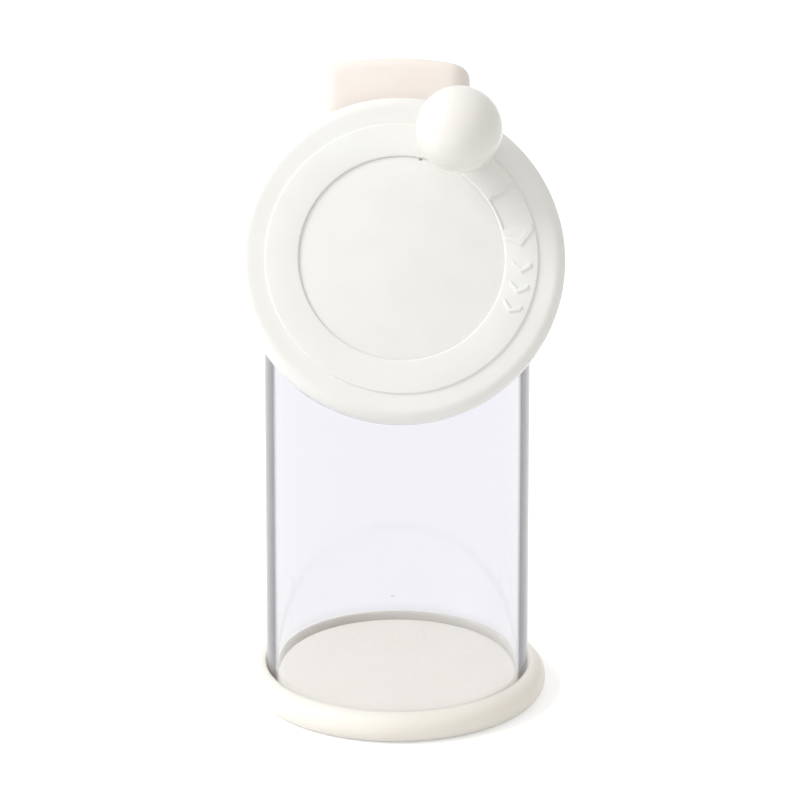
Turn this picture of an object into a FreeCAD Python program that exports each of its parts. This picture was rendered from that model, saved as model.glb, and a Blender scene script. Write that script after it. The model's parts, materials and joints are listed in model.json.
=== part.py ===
import FreeCAD, Part
import math
import os

# Hand-cranked sesame grinder, all sizes in millimetres.
# Origin: centre of the base lid's underside, on the tube's axis. +Z up, the disc faces -Y.
# Pieces of the head are drawn about the crank axis, z = 0 on the disc's front face and
# z negative behind it, and are then set in place by tilted().

# Tube and base lid
tube_radius = 26.0
tube_wall = 2.0
tube_foot_height = 1.8
lid_past_tube = 3.5
lid_height = 6.0
lid_shoulder_radius = 3.3
lid_foot_radius = 2.6
lid_floor_height = 5.1
lid_plug_round = 0.8
lid_fit = 0.1
lid_seat_gap = 0.3
foot_recess_depth = 1.2
foot_recess_inner = 12.0
foot_rim_width = 4.5
gate_rib_width = 0.7
gate_rib_depth = 0.4
gate_rib_height = 4.6

# Place and tilt of the crank axis
face_tilt = 28.0
face_inset = 4.0
face_height = 98.4

# Crank disc
disc_past_tube = 5.1
disc_edge_round = 1.8
disc_plate = 3.4
disc_skirt_depth = 5.4
disc_skirt_wall = 2.0
disc_border = 4.9
band_width = 6.5
band_height = 0.4
band_round = 0.2
lip_wall = 1.4
lip_reach = 1.6
lip_clearance = 0.4
boss_radius = 6.0
boss_sink = 1.6

# Hub cover
cover_thickness = 1.6
cover_sink = 0.1
cover_fit = 0.08

# Arrow and plain marks on the band
arrow_depth = 0.3
arrow_inset = 0.45
arrow_tail_angle = 32.5
arrow_neck_angle = 15.0
arrow_tip_angle = 5.0
arrow_wing_angle = 11.0
arrow_stroke = 1.1
mark_height = 0.3
mark_stroke = 0.8
mark_span = 3.6
mark_reach = 1.3
mark_angles = (-8.0, -18.0, -28.0)

# Knob
knob_radius = 8.3
knob_centre_height = 11.8
knob_foot_radius = 4.2
knob_neck_round = 2.2
knob_inset = 5.8
knob_angle = 64.4
knob_pad_margin = 0.15
knob_bore_depth = 10.0
pin_radius = 2.0
pin_running_gap = 0.06
pin_head_radius = 3.0
pin_head_height = 1.3
pin_tip_gap = 0.5
pin_tip_round = 0.65
washer_thickness = 0.5
washer_gap = 0.05
washer_radius = 3.3

# Tray, moulded in one with the tube
tray_gap = 0.4
flange_past_disc = 0.9
flange_thickness = 1.8
flange_round = 0.4
flange_ledge = 2.7
chamber_wall = 1.8
chamber_floor = 2.0
tray_round = 1.2
feed_opening_radius = 10.5
spider_hub_radius = 5.6
spider_spoke_width = 2.4
spoke_count = 3
spoke_angle = 90.0
burr_ring_wall = 1.4
burr_ring_height = 1.6

# Roof of the hopper behind the tray
roof_slope = 32.0
roof_above_feed = 5.5
roof_round = 4.5

# Spout and outlet cap
spout_side_offset = -0.8
spout_half_width = 13.48
spout_wall = 1.5
spout_corner = 3.8
cap_fit = 0.12
cap_wall = 1.5
cap_height = 11.35
cap_crown_radius = 62.0
cap_top_wall = 1.8
cap_edge_round = 2.4
cap_seat_gap = 0.3
cap_top_gap = 0.5
cap_flange_gap = 0.4

# Burrs
burr_gap = 0.35
burr_room = 9.3
rotor_post_height = 2.2
rotor_thickness = 5.6
stator_thickness = 6.7
stator_bore_radius = 8.0
nose_root_radius = 6.4
nose_tip_radius = 5.6
nose_length = 4.6
tooth_count = 20
tooth_width = 1.3
tooth_depth = 0.8
tooth_skew = 12.0

# Shaft, bush and spring
shaft_radius = 2.5
shaft_square = 4.0
shaft_fit = 0.05
shaft_tip = 1.6
bush_radius = 4.1
bush_fit = 0.02
bush_flange_radius = 5.4
bush_flange = 1.0
bush_nose = 0.6
seat_thickness = 0.5
seat_radius = 6.6
spring_mean_radius = 5.0
spring_wire_radius = 0.45
spring_turns = 4.0
spring_length = 8.0
contact_gap = 0.02
spring_washer_thickness = 0.8
clip_thickness = 0.8
clip_radius = 4.4
clip_slot = 3.4
groove_radius = 1.9

# Screws
screw_radius = 1.1
screw_head_radius = 2.1
screw_head_height = 1.1
screw_hole_gap = 0.1
screw_pilot_gap = 0.05
screw_head_round = 0.35
screw_point_radius = 0.35
screw_slot_width = 0.5
screw_slot_depth = 0.45
rotor_screw_length = 7.0
rotor_post_radius = 3.0
stator_screw_length = 4.6
shaft_screw_length = 6.0
shaft_screw_head_radius = 2.9
shaft_washer_radius = 3.4
screws_per_ring = 3
rotor_screw_angle = 90.0
stator_screw_angle = 30.0

# Sizes that follow from the ones above
tube_bore = tube_radius - tube_wall
lid_radius = tube_radius + lid_past_tube
foot_recess_outer = lid_radius - foot_rim_width
face_offset = tube_radius - face_inset
disc_radius = tube_radius + disc_past_tube
band_outer_radius = disc_radius - disc_border
band_inner_radius = band_outer_radius - band_width
band_middle = (band_inner_radius + band_outer_radius) / 2
knob_orbit_radius = disc_radius - knob_inset
cover_back = cover_sink + cover_thickness
recess_depth = cover_back + cover_fit
tray_front = disc_skirt_depth + tray_gap
flange_back = tray_front + flange_thickness
flange_radius = disc_radius + flange_past_disc
chamber_outer = flange_radius - flange_ledge
chamber_radius = chamber_outer - chamber_wall
burr_radius = chamber_radius - burr_room
lip_radius = chamber_radius - lip_clearance
lip_depth = tray_front + lip_reach
rotor_front = disc_plate + rotor_post_height
rotor_back = rotor_front + rotor_thickness
nose_depth = rotor_back + nose_length
boss_depth = rotor_front + boss_sink
stator_front = rotor_back + burr_gap
floor_front = stator_front + stator_thickness
floor_back = floor_front + chamber_floor
burr_ring_inner = burr_radius + burr_gap
burr_ring_outer = burr_ring_inner + burr_ring_wall
spout_front = flange_back + cap_flange_gap + cap_wall + cap_fit
crown_centre = chamber_outer + cap_height - cap_crown_radius
roof_meets_tray = feed_opening_radius + roof_above_feed
rotor_screw_circle = (boss_radius + burr_radius) / 2
stator_screw_circle = (stator_bore_radius + burr_radius) / 2
bore_radius = shaft_radius + shaft_fit
bush_end = floor_back + bush_flange
seat_front = bush_end + contact_gap
spring_front = seat_front + seat_thickness + contact_gap
spring_back = spring_front + spring_length
spring_washer_front = spring_back + contact_gap
clip_front = spring_washer_front + spring_washer_thickness + contact_gap
clip_back = clip_front + clip_thickness
shaft_end = clip_back + shaft_tip
washer_top = band_height + washer_gap + washer_thickness
knob_foot = washer_top + washer_gap
shaft_head_depth = recess_depth + screw_head_height + washer_thickness
reach = 4.0 * tube_radius
past = 1.0
edge_band = 0.01

X_AXIS = FreeCAD.Vector(1, 0, 0)
Z_AXIS = FreeCAD.Vector(0, 0, 1)


def save(shape, node):
    shape.exportStep("parts/" + node + ".step")
    print(node, "solids", len(shape.Solids), "valid", shape.isValid(), "volume", round(shape.Volume, 1))


def tilted(shape):
    """Set a shape drawn about the crank axis where the head is."""
    turn = FreeCAD.Rotation(X_AXIS, 90.0 - face_tilt)
    centre = FreeCAD.Vector(0, -face_offset, face_height)
    placed = shape.copy()
    placed.Placement = FreeCAD.Placement(centre, turn).multiply(shape.Placement)
    return placed


def disc(radius, low, high, x=0.0, y=0.0):
    return Part.makeCylinder(radius, high - low, FreeCAD.Vector(x, y, low))


def ring(outer, inner, low, high):
    return disc(outer, low, high).cut(disc(inner, low, high))


def cone(low_radius, high_radius, low, high):
    return Part.makeCone(low_radius, high_radius, high - low, FreeCAD.Vector(0, 0, low))


def block(x_low, x_high, y_low, y_high, z_low, z_high):
    corner = FreeCAD.Vector(x_low, y_low, z_low)
    return Part.makeBox(x_high - x_low, y_high - y_low, z_high - z_low, corner)


def turned(shape, angle):
    copy = shape.copy()
    copy.rotate(FreeCAD.Vector(0, 0, 0), Z_AXIS, angle)
    return copy


def moved(shape, x, y, z=0.0):
    copy = shape.copy()
    copy.translate(FreeCAD.Vector(x, y, z))
    return copy


def around(shape, count, first=0.0):
    return [turned(shape, first + index * 360.0 / count) for index in range(count)]


def on_circle(radius, angle):
    turn = math.radians(angle)
    return radius * math.cos(turn), radius * math.sin(turn)


def rounded(shape, radius, height):
    """Round every edge that lies level at the given height."""
    return shape.makeFillet(radius, [edge for edge in shape.Edges if lies_at(edge, height)])


def lies_at(edge, height):
    box = edge.BoundBox
    return box.ZMin > height - edge_band and box.ZMax < height + edge_band


def pillar(half_x, y_low, y_high, corner, z_low, z_high):
    """A block with round upright corners."""
    body = block(-half_x, half_x, y_low, y_high, z_low, z_high)
    upright = [edge for edge in body.Edges if edge.BoundBox.ZLength > (z_high - z_low) / 2]
    return body.makeFillet(corner, upright)


def lying(shape):
    """Turn a pillar so that it points up the disc's face and its y runs back into depth."""
    copy = shape.copy()
    copy.rotate(FreeCAD.Vector(0, 0, 0), X_AXIS, -90.0)
    return copy


def screw(head_radius, length):
    """A screw with its head's underside at z = 0, its point towards -z and a slot across the head."""
    head = disc(head_radius, 0, screw_head_height)
    head = rounded(head, screw_head_round, screw_head_height)
    point_length = screw_radius
    shank = disc(screw_radius, point_length - length, 0)
    point = cone(screw_point_radius, screw_radius, -length, point_length - length)
    slot_low = screw_head_height - screw_slot_depth
    slot = block(-head_radius, head_radius, -screw_slot_width / 2, screw_slot_width / 2, slot_low, reach)
    return head.fuse([shank, point]).cut(slot).removeSplitter()


# Base lid


def base_lid():
    body = disc(lid_radius, 0, lid_height)
    body = rounded(body, lid_shoulder_radius, lid_height)
    body = rounded(body, lid_foot_radius, 0)
    inside = disc(tube_radius + lid_fit, tube_foot_height - lid_seat_gap, lid_height)
    plug = disc(tube_bore - lid_fit, tube_foot_height - lid_seat_gap, lid_floor_height)
    plug = rounded(plug, lid_plug_round, lid_floor_height)
    recess = ring(foot_recess_outer, foot_recess_inner, 0, foot_recess_depth)
    return body.cut(inside).fuse(plug).cut(recess).removeSplitter()


# Container


def roof_cutter(drop):
    """Everything above the hopper's roof, lowered by a wall."""
    slope = math.radians(roof_slope)
    tilt = math.radians(face_tilt)
    y = -face_offset + roof_meets_tray * math.sin(tilt) + floor_back * math.cos(tilt)
    z = face_height + roof_meets_tray * math.cos(tilt) - floor_back * math.sin(tilt)
    cutter = block(-reach, reach, -reach, reach, 0, reach)
    cutter.rotate(FreeCAD.Vector(0, 0, 0), X_AXIS, -roof_slope)
    cutter.translate(FreeCAD.Vector(0, y, z - drop / math.cos(slope)))
    return cutter


def roofed_tube(radius, low, drop, edge_round):
    """A round bar from the foot up to the sloping roof, with the roof's edge rounded."""
    bar = disc(radius, low, face_height + 2 * tube_radius).cut(roof_cutter(drop))
    top = [edge for edge in bar.Edges if edge.BoundBox.ZMin > low + past and edge.isClosed()]
    return bar.makeFillet(edge_round, top)


def crowned(shape, inset):
    """Cut a shape that points up the disc's face to the cap's arched top, or to an arch inside it."""
    crown = Part.makeCylinder(cap_crown_radius - inset, reach, FreeCAD.Vector(0, crown_centre, -reach))
    return shape.common(crown)


def spout():
    """Flat duct that leaves the tray's top edge in the plane of the disc."""
    outer = lying(pillar(spout_half_width, spout_front, floor_back, spout_corner, 0, reach))
    return moved(crowned(outer, cap_top_wall + cap_top_gap), spout_side_offset, 0)


def spout_bore():
    inner_corner = spout_corner - spout_wall
    half = spout_half_width - spout_wall
    inner = pillar(half, spout_front + spout_wall, floor_front, inner_corner, burr_ring_outer, reach)
    return moved(lying(inner), spout_side_offset, 0)


def tray_floor_openings():
    """Feed opening with a spider left in it, and the holes of the stator's screws."""
    low = -floor_back
    high = -floor_front
    feed = disc(feed_opening_radius, low, high)
    half_spoke = spider_spoke_width / 2
    spoke = block(0, feed_opening_radius + past, -half_spoke, half_spoke, low, high)
    feed = feed.cut(disc(spider_hub_radius, low, high)).cut(around(spoke, spoke_count, spoke_angle))
    bore = disc(bush_radius + bush_fit, low, high)
    hole_x, hole_y = on_circle(stator_screw_circle, 0)
    hole = disc(screw_radius + screw_hole_gap, low, high, hole_x, hole_y)
    return [feed, bore] + around(hole, screws_per_ring, stator_screw_angle)


def container():
    tube = roofed_tube(tube_radius, tube_foot_height, 0, roof_round)
    hopper = roofed_tube(tube_bore, tube_foot_height, tube_wall, roof_round - tube_wall)
    tray = disc(chamber_outer, -floor_back, -tray_front)
    tray = tilted(rounded(tray, tray_round, -floor_back))
    tray_and_front = tilted(disc(chamber_outer, -floor_back, reach))
    ahead = tilted(disc(reach, -flange_back, reach))
    flange = rounded(disc(flange_radius, -flange_back, -tray_front), flange_round, -tray_front)
    chamber = tilted(disc(chamber_radius, -floor_front, reach))
    burr_ring = ring(burr_ring_outer, burr_ring_inner, -floor_front, burr_ring_height - floor_front)
    body = tube.cut(ahead).fuse([tray, tilted(flange), tilted(spout())])
    body = body.cut([hopper.cut(tray_and_front), chamber, tilted(spout_bore())])
    body = body.cut([tilted(opening) for opening in tray_floor_openings()])
    rib_low = lid_floor_height + lid_seat_gap
    rib_inner = tube_bore - gate_rib_depth
    rib_outer = tube_bore + tube_wall / 2
    half_rib = gate_rib_width / 2
    rib = block(-half_rib, half_rib, rib_inner, rib_outer, rib_low, rib_low + gate_rib_height)
    return body.fuse([tilted(burr_ring), rib]).removeSplitter()


# Outlet cap


def outlet_cap():
    """Round-edged cap with an arched top, whose skirt is cut to the tray's round wall."""
    front = spout_front - cap_fit
    back = floor_back + cap_fit
    corner = spout_corner + cap_fit
    room = spout_half_width + cap_fit
    outer = pillar(room + cap_wall, front - cap_wall, back + cap_wall, corner + cap_wall, 0, reach)
    outer = crowned(lying(outer), 0)
    top = [edge for edge in outer.Edges if edge.BoundBox.YMin > chamber_outer]
    outer = outer.makeFillet(cap_edge_round, top)
    inner = crowned(lying(pillar(room, front, back, corner, 0, reach)), cap_top_wall)
    tray_room = disc(chamber_outer + cap_seat_gap, -reach, 0)
    cap = moved(outer.cut(inner), spout_side_offset, 0)
    return tilted(cap.cut(tray_room).removeSplitter())


# Crank disc


def arrow_pocket():
    """Sunken body of the arrow, from its square tail to the arrow's head."""
    low = band_height - arrow_depth
    outer = band_outer_radius - arrow_inset
    inner = band_inner_radius + arrow_inset
    sector = ring(outer, inner, low, band_height + past)
    wedge = sector_wedge(arrow_neck_angle, arrow_tail_angle, low)
    return sector.common(wedge)


def sector_wedge(first, last, low):
    far = 2 * band_outer_radius
    points = [FreeCAD.Vector(0, 0, low)]
    for angle in (first, last):
        x, y = on_circle(far, angle)
        points.append(FreeCAD.Vector(x, y, low))
    points.append(points[0])
    return Part.Face(Part.makePolygon(points)).extrude(FreeCAD.Vector(0, 0, far))


def chevron(middle, reach_back, span, stroke, low, high):
    """A V in the x-y plane whose point looks towards -y, with its point at the given radius."""
    far = middle + span / 2
    near = middle - span / 2
    back = reach_back + stroke
    front = [(near, reach_back), (middle, 0), (far, reach_back)]
    rear = [(far, back), (middle, stroke), (near, back), (near, reach_back)]
    outline = Part.makePolygon([FreeCAD.Vector(x, y, low) for x, y in front + rear])
    return Part.Face(outline).extrude(FreeCAD.Vector(0, 0, high - low))


def arrow_head():
    back = math.radians(arrow_wing_angle - arrow_tip_angle) * band_middle
    span = band_width - 2 * arrow_inset
    head = chevron(band_middle, back, span, arrow_stroke, band_height, band_height + mark_height)
    return turned(head, arrow_tip_angle)


def plain_marks():
    top = band_height + mark_height
    mark = chevron(band_middle, mark_reach, mark_span, mark_stroke, band_height, top)
    return [turned(mark, angle) for angle in mark_angles]


def crank_disc():
    plate = disc(disc_radius, -disc_skirt_depth, 0)
    plate = rounded(plate, disc_edge_round, 0)
    plate = plate.cut(disc(disc_radius - disc_skirt_wall, -disc_skirt_depth, -disc_plate))
    pad_x, pad_y = on_circle(knob_orbit_radius, knob_angle)
    pad = disc(washer_radius + knob_pad_margin, -past, band_height, pad_x, pad_y)
    band = disc(band_outer_radius, -past, band_height).fuse(pad).removeSplitter()
    band = rounded(band, band_round, band_height)
    lip = ring(lip_radius, lip_radius - lip_wall, -lip_depth, -disc_plate)
    boss = disc(boss_radius, -boss_depth, -disc_plate)
    body = plate.fuse([band, lip, boss])
    body = body.cut(disc(band_inner_radius, -recess_depth, band_height))
    body = body.cut([arrow_pocket()] + disc_holes())
    return body.fuse([arrow_head()] + plain_marks()).removeSplitter()


def disc_holes():
    """Square seat of the shaft, screw holes and the stepped hole of the knob's pin."""
    side = shaft_square / 2 + shaft_fit
    seat = block(-side, side, -side, side, -boss_depth, -shaft_head_depth - disc_web())
    shaft_hole = disc(screw_radius + screw_hole_gap, -boss_depth, -recess_depth)
    head_room = disc(shaft_washer_radius + screw_hole_gap, -shaft_head_depth, -recess_depth)
    hole_x, hole_y = on_circle(rotor_screw_circle, 0)
    screw_hole = disc(screw_radius + screw_hole_gap, -disc_plate, -recess_depth, hole_x, hole_y)
    knob_x, knob_y = on_circle(knob_orbit_radius, knob_angle)
    pin_hole = disc(pin_radius + pin_running_gap, -disc_plate, reach, knob_x, knob_y)
    room_radius = pin_head_radius + screw_hole_gap
    pin_room = disc(room_radius, -disc_plate, pin_head_height - disc_plate, knob_x, knob_y)
    screw_holes = around(screw_hole, screws_per_ring, rotor_screw_angle)
    return [seat, shaft_hole, head_room, pin_hole, pin_room] + screw_holes


def disc_web():
    """Wall between the room of the shaft screw's head and the shaft's square end."""
    return shaft_fit + washer_thickness


def hub_cover():
    """Panel with three hollows on its back that clear the heads of the rotor's screws."""
    cover = disc(band_inner_radius - cover_fit, -cover_back, -cover_sink)
    cover = rounded(cover, band_round, -cover_sink)
    room_x, room_y = on_circle(rotor_screw_circle, 0)
    room_top = screw_head_height + screw_pilot_gap - cover_back
    room = disc(screw_head_radius + screw_hole_gap, -cover_back, room_top, room_x, room_y)
    return tilted(cover.cut(around(room, screws_per_ring, rotor_screw_angle)))


# Burrs


def teeth(low, high, skew):
    """Skewed grooves cut across a burr's face."""
    length = 2 * burr_radius
    groove = block(stator_bore_radius, length, -tooth_width / 2, tooth_width / 2, low, high)
    groove.rotate(FreeCAD.Vector(stator_bore_radius, 0, 0), Z_AXIS, skew)
    return around(groove, tooth_count)


def rotor_burr():
    plate = disc(burr_radius, -rotor_back, -rotor_front)
    nose = cone(nose_tip_radius, nose_root_radius, -nose_depth, -rotor_back)
    post_x, post_y = on_circle(rotor_screw_circle, 0)
    post = disc(rotor_post_radius, -rotor_front, -disc_plate - contact_gap, post_x, post_y)
    posts = around(post, screws_per_ring, rotor_screw_angle)
    pilot_low = recess_depth - contact_gap + rotor_screw_length + screw_pilot_gap
    pilot = disc(screw_radius + screw_pilot_gap, -pilot_low, -disc_plate, post_x, post_y)
    body = plate.fuse([nose] + posts)
    boss_room = disc(boss_radius + contact_gap, -boss_depth - contact_gap, -rotor_front)
    bore = disc(bore_radius, -nose_depth, -rotor_front)
    body = body.cut([boss_room, bore] + around(pilot, screws_per_ring, rotor_screw_angle))
    return tilted(body.cut(teeth(-rotor_back, tooth_depth - rotor_back, tooth_skew)))


def stator_burr():
    body = ring(burr_radius, stator_bore_radius, contact_gap - floor_front, -stator_front)
    pilot_x, pilot_y = on_circle(stator_screw_circle, 0)
    pilot_top = stator_screw_length - floor_back + screw_pilot_gap
    pilot = disc(screw_radius + screw_pilot_gap, -floor_front, pilot_top, pilot_x, pilot_y)
    body = body.cut(around(pilot, screws_per_ring, stator_screw_angle))
    return tilted(body.cut(teeth(-stator_front - tooth_depth, -stator_front, -tooth_skew)))


# Shaft, bush, spring and clip


def drive_shaft():
    top = shaft_head_depth + disc_web() + contact_gap
    square = block(-shaft_square / 2, shaft_square / 2, -shaft_square / 2, shaft_square / 2,
                   -boss_depth, -top)
    square = square.common(disc(shaft_radius, -boss_depth, -top))
    bar = disc(shaft_radius, -shaft_end, -boss_depth - contact_gap)
    bar = bar.fuse(disc(shaft_square / 2, -boss_depth - contact_gap, -boss_depth)).fuse(square)
    groove = ring(reach, groove_radius, -clip_back - contact_gap, -clip_front + contact_gap)
    tapped_depth = shaft_head_depth + shaft_screw_length
    tapped = disc(screw_radius + screw_pilot_gap, -tapped_depth, 0)
    return tilted(bar.cut([groove, tapped]).removeSplitter())


def shaft_bush():
    body = disc(bush_radius, -floor_back, bush_nose - floor_front)
    flange = disc(bush_flange_radius, -bush_end, -floor_back - contact_gap)
    neck = disc(bush_radius, -floor_back - contact_gap, -floor_back)
    bore = disc(bore_radius, -bush_end, 0)
    return tilted(body.fuse([flange, neck]).cut(bore).removeSplitter())


def spring_seat():
    return tilted(ring(seat_radius, bore_radius + shaft_fit, -seat_front - seat_thickness, -seat_front))


def spring_washer():
    back = spring_washer_front + spring_washer_thickness
    return tilted(ring(seat_radius, bore_radius, -back, -spring_washer_front))


def retaining_clip():
    inner = groove_radius + contact_gap
    clip = ring(clip_radius, inner, -clip_back, -clip_front)
    mouth = block(0, reach, -clip_slot / 2, clip_slot / 2, -clip_back, -clip_front)
    return tilted(clip.cut(mouth))


def coil_point(turn):
    """A point of the spring's centre line and the way that the wire runs there."""
    angle = 2 * math.pi * turn
    rise = (spring_length - 2 * spring_wire_radius) / spring_turns
    low = -spring_back + spring_wire_radius
    point = FreeCAD.Vector(spring_mean_radius * math.cos(angle), spring_mean_radius * math.sin(angle),
                           low + rise * turn)
    along = FreeCAD.Vector(-spring_mean_radius * math.sin(angle), spring_mean_radius * math.cos(angle),
                           rise / (2 * math.pi))
    return point, along.normalize()


def tangent_arc(start, corner, end):
    """The arc from start to end whose tangents meet at the corner."""
    middle = (start + end) * 0.5
    half_chord = (end - start).Length / 2
    lean = math.atan2((corner - middle).Length, half_chord)
    apex = middle + (corner - middle).normalize() * (half_chord * math.tan(lean / 2))
    return Part.Arc(start, apex, end).toShape()


def biarc(first, last):
    """Two arcs that join two points smoothly."""
    start, start_way = first
    end, end_way = last
    chord = end - start
    ways = start_way + end_way
    open_part = 2 * (1 - start_way.dot(end_way))
    lean = chord.dot(ways)
    reach_out = (math.sqrt(lean * lean + open_part * chord.dot(chord)) - lean) / open_part
    near = start + start_way * reach_out
    far = end - end_way * reach_out
    joint = (near + far) * 0.5
    return [tangent_arc(start, near, joint), tangent_arc(joint, far, end)]


def burr_spring():
    quarters = int(round(4 * spring_turns))
    stations = [coil_point(index / 4) for index in range(quarters + 1)]
    path = []
    for first, last in zip(stations, stations[1:]):
        path += biarc(first, last)
    start, way = stations[0]
    section = Part.Wire(Part.Circle(start, way, spring_wire_radius).toShape())
    pipe = Part.BRepOffsetAPI.MakePipeShell(Part.Wire(path))
    pipe.add(section)
    pipe.build()
    pipe.makeSolid()
    wire = Part.Solid(pipe.shape())
    print("spring least gap to itself", round(spring_gap(), 3))
    print("spring volume against section times length",
          round(wire.Volume / (math.pi * spring_wire_radius ** 2 * Part.Wire(path).Length), 4))
    return tilted(wire)


def spring_gap():
    """Least gap of the wire to itself, measured on points more than half a turn apart."""
    steps_per_turn = 48
    count = int(spring_turns * steps_per_turn)
    points = [coil_point(index / steps_per_turn)[0] for index in range(count + 1)]
    half_turn = steps_per_turn // 2
    gaps = [(points[late] - points[early]).Length
            for early in range(count) for late in range(early + half_turn, count + 1)]
    return min(gaps) - 2 * spring_wire_radius


# Screws and washers


def rotor_screws():
    x, y = on_circle(rotor_screw_circle, 0)
    one = moved(screw(screw_head_radius, rotor_screw_length), x, y, contact_gap - recess_depth)
    return tilted(Part.makeCompound(around(one, screws_per_ring, rotor_screw_angle)))


def stator_screws():
    x, y = on_circle(stator_screw_circle, 0)
    one = screw(screw_head_radius, stator_screw_length)
    one.rotate(FreeCAD.Vector(0, 0, 0), X_AXIS, 180)
    one = moved(one, x, y, -floor_back - contact_gap)
    return tilted(Part.makeCompound(around(one, screws_per_ring, stator_screw_angle)))


def shaft_screw():
    one = screw(shaft_screw_head_radius, shaft_screw_length)
    return tilted(moved(one, 0, 0, -shaft_head_depth + washer_thickness))


def shaft_washer():
    hole = screw_radius + screw_hole_gap
    low = contact_gap - shaft_head_depth
    high = washer_thickness - contact_gap - shaft_head_depth
    return tilted(ring(shaft_washer_radius, hole, low, high))


# Knob and its pin


def knob_place(shape):
    x, y = on_circle(knob_orbit_radius, knob_angle)
    return tilted(moved(shape, x, y))


def knob_profile():
    """Outline of the ball, its hollow neck and its flat foot, from the foot up to the pole."""
    arm = knob_radius + knob_neck_round
    neck_x = knob_foot_radius + knob_neck_round
    lean = math.acos(neck_x / arm)
    waist_height = knob_centre_height - arm * math.sin(lean)
    bend_x = neck_x - knob_neck_round * math.cos(lean / 2)
    bend_height = waist_height + knob_neck_round * math.sin(lean / 2)
    touch_height = knob_centre_height - knob_radius * math.sin(lean)
    touch = FreeCAD.Vector(knob_radius * math.cos(lean), 0, touch_height)
    bend = FreeCAD.Vector(bend_x, 0, bend_height)
    waist = FreeCAD.Vector(knob_foot_radius, 0, waist_height)
    side = FreeCAD.Vector(knob_radius, 0, knob_centre_height)
    pole = FreeCAD.Vector(0, 0, knob_centre_height + knob_radius)
    foot_edge = FreeCAD.Vector(knob_foot_radius, 0, knob_foot)
    foot_centre = FreeCAD.Vector(0, 0, knob_foot)
    return Part.Wire([
        Part.LineSegment(foot_centre, foot_edge).toShape(),
        Part.LineSegment(foot_edge, waist).toShape(),
        Part.Arc(waist, bend, touch).toShape(),
        Part.Arc(touch, side, pole).toShape(),
        Part.LineSegment(pole, foot_centre).toShape()])


def knob():
    ball = Part.Face(knob_profile()).revolve(FreeCAD.Vector(0, 0, 0), Z_AXIS, 360)
    bore = disc(pin_radius + pin_running_gap, 0, knob_bore_depth)
    return knob_place(ball.cut(bore))


def knob_pin():
    head = disc(pin_head_radius, contact_gap - disc_plate, pin_head_height - disc_plate - contact_gap)
    tip = knob_bore_depth - pin_tip_gap
    shank = disc(pin_radius, -disc_plate + contact_gap, tip)
    shank = rounded(shank, pin_tip_round, tip)
    return knob_place(head.fuse(shank).removeSplitter())


def knob_washer():
    low = band_height + washer_gap
    return knob_place(ring(washer_radius, pin_radius + pin_running_gap, low, low + washer_thickness))


save(container(), "container")
save(base_lid(), "base_lid")
save(outlet_cap(), "outlet_cap")
save(tilted(crank_disc()), "crank_disc")
save(hub_cover(), "hub_cover")
save(rotor_burr(), "rotor_burr")
save(rotor_screws(), "rotor_screws")
save(stator_burr(), "stator_burr")
save(stator_screws(), "stator_screws")
save(drive_shaft(), "drive_shaft")
save(shaft_bush(), "shaft_bush")
save(shaft_screw(), "shaft_screw")
save(shaft_washer(), "shaft_washer")
save(spring_seat(), "spring_seat")
save(burr_spring(), "burr_spring")
save(spring_washer(), "spring_washer")
save(retaining_clip(), "retaining_clip")
save(knob(), "knob")
save(knob_pin(), "knob_pin")
save(knob_washer(), "knob_washer")
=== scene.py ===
import json
import math

import bmesh
import bpy
from mathutils import Matrix, Vector

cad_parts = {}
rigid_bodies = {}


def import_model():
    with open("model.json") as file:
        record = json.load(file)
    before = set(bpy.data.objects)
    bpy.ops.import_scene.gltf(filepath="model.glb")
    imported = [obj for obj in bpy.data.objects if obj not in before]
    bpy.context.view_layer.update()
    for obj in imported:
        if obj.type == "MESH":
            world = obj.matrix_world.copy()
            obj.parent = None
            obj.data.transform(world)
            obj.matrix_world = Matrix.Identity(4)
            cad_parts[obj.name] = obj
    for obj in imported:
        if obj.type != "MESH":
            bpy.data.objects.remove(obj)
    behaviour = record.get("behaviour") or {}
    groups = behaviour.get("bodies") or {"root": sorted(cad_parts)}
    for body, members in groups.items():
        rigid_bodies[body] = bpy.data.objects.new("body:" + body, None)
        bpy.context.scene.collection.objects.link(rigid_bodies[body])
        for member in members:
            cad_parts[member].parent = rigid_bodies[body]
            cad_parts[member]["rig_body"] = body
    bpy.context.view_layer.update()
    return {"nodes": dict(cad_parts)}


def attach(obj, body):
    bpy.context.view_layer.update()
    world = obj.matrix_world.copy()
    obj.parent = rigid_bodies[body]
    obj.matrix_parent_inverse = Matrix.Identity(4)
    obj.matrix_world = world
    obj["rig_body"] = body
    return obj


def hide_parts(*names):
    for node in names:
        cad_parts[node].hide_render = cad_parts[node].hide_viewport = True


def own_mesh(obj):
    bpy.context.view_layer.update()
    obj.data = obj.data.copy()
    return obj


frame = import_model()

print("frame loaded:", len(frame["nodes"]), "nodes")

mm = 0.001
toMetres = Matrix.Scale(mm, 4)

# Crank axis in millimetres: z comes out of the disc's face, y runs up it, x lies level
head = {"tilt": 28.0, "offset": 22.0, "height": 98.4}
headPlace = (Matrix.Translation((0, -head["offset"], head["height"]))
             @ Matrix.Rotation(math.radians(90 - head["tilt"]), 4, "X"))
headOut = headPlace.to_3x3() @ Vector((0, 0, 1))
upright = Matrix.Identity(4)


# Camera

camera = {"elevation": 20.64, "distance": 1270.8, "focal": 6472.8, "yaw": 2.24,
          "aimX": 0.54, "aimZ": 61.13, "picture": 800, "sensor": 36.0, "clip": (0.05, 20.0)}


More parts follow.
